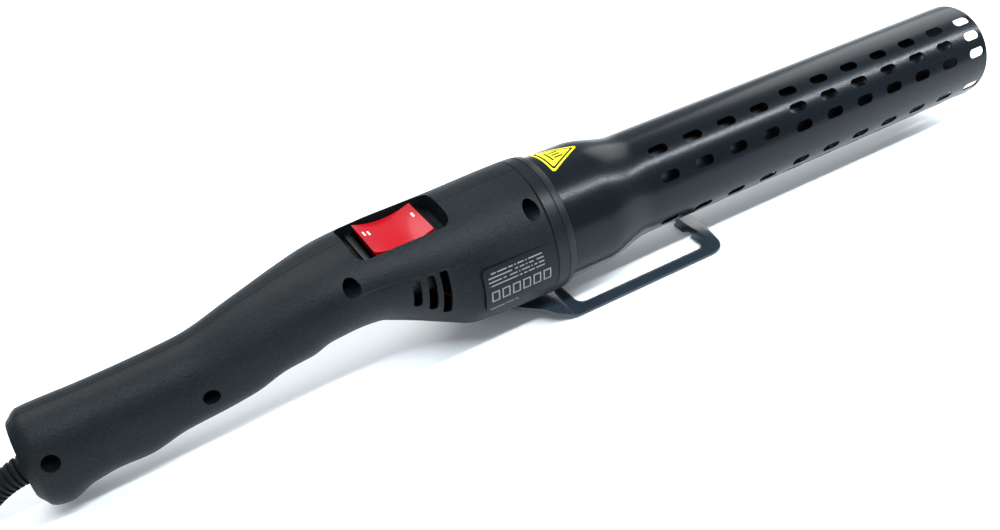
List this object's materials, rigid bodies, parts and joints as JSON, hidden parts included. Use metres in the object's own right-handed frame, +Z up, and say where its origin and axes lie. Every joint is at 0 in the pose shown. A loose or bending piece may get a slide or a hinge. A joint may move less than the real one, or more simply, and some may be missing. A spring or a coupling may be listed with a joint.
{
  "type": "electric charcoal lighter",
  "caption": "Hand-held hot-air charcoal lighter: a slotted steel barrel on a fan handle with a rocker switch, a bent sheet stand under the front and a coiled mains lead.",
  "frame": {"origin": "midway along the tool from the handle's tail to the barrel's mouth, on the barrel's centre plane, on the surface that the stand rests on", "axes": "+X along the barrel towards its mouth, +Y to the tool's left, +Z up"},
  "size_m": [0.6504, 0.1025, 0.0694],
  "materials": {
    "handlePlastic": "satin, finely textured dark charcoal moulding",
    "blackSteel": "semi-gloss black heat-resistant paint",
    "brightSteel": "bright zinc-plated or plain steel",
    "standSteel": "dark grey satin painted sheet steel",
    "mica": "matt pressed mica",
    "ceramic": "matt unglazed steatite",
    "nichrome": "dull resistance wire",
    "redPlastic": "glossy red",
    "blackPlastic": "smooth black",
    "brass": "plain brass",
    "yellowFilm": "printed yellow film with a black border",
    "darkFilm": "printed dark film",
    "leadBlue": "blue lead insulation",
    "leadBrown": "brown lead insulation",
    "cordRubber": "black flexible cord sheath",
    "board": "green circuit board"
  },
  "bodies": {
    "tool": {"housing_right": "handlePlastic", "housing_left": "handlePlastic", "housing_screw_1": "brightSteel", "housing_screw_2": "brightSteel", "housing_screw_3": "brightSteel", "housing_screw_4": "brightSteel", "front_ring": "handlePlastic", "bulkhead": "blackPlastic", "flange_gasket": "mica", "barrel_tube": "blackSteel", "inner_tube": "brightSteel", "flange_screw_1": "brightSteel", "flange_nut_1": "brightSteel", "flange_screw_2": "brightSteel", "flange_nut_2": "brightSteel", "flange_screw_3": "brightSteel", "flange_nut_3": "brightSteel", "mica_liner": "mica", "mica_board_upright": "mica", "mica_board_level": "mica", "heating_coil": "nichrome", "element_base": "ceramic", "thermal_cutout": "blackPlastic", "thermal_fuse": "brightSteel", "motor_can": "brightSteel", "motor_end_cap": "blackPlastic", "motor_bush_front": "brass", "motor_bush_rear": "brass", "motor_mount": "blackPlastic", "switch_body": "blackPlastic", "switch_bezel": "blackPlastic", "rocker_pin": "brightSteel", "switch_terminal_rear_right": "brass", "switch_terminal_rear_left": "brass", "switch_terminal_front_right": "brass", "switch_terminal_front_left": "brass", "stand": "standSteel", "stand_screw_right": "brightSteel", "stand_screw_left": "brightSteel", "warning_sticker": "yellowFilm", "rating_plate": "darkFilm", "rectifier_board": "board", "rectifier": "blackPlastic", "supply_lead_right": "leadBrown", "supply_lead_left": "leadBlue", "heater_lead_right": "leadBrown", "heater_lead_left": "leadBlue", "cord_inside": "cordRubber", "cord_clamp": "blackPlastic", "clamp_screw_right": "brightSteel", "clamp_screw_left": "brightSteel", "strain_relief": "cordRubber", "cord": "cordRubber", "cord_coil": "cordRubber", "plug_body": "cordRubber", "plug_pin_front": "brightSteel", "plug_pin_rear": "brightSteel"},
    "rocker": {"rocker": "redPlastic"},
    "fan_rotor": {"impeller": "blackPlastic", "motor_shaft": "brightSteel"}
  },
  "joints": [
    {"name": "rocker_tilt", "type": "hinge", "parent": "tool", "child": "rocker", "pos_m": [-0.08375, 0, 0.0548], "axis": [0, 1, 0], "range_deg": [-9, 9]},
    {"name": "fan_spin", "type": "hinge", "parent": "tool", "child": "fan_rotor", "pos_m": [-0.04125, 0, 0.0385], "axis": [1, 0, 0], "continuous": true}
  ]
}
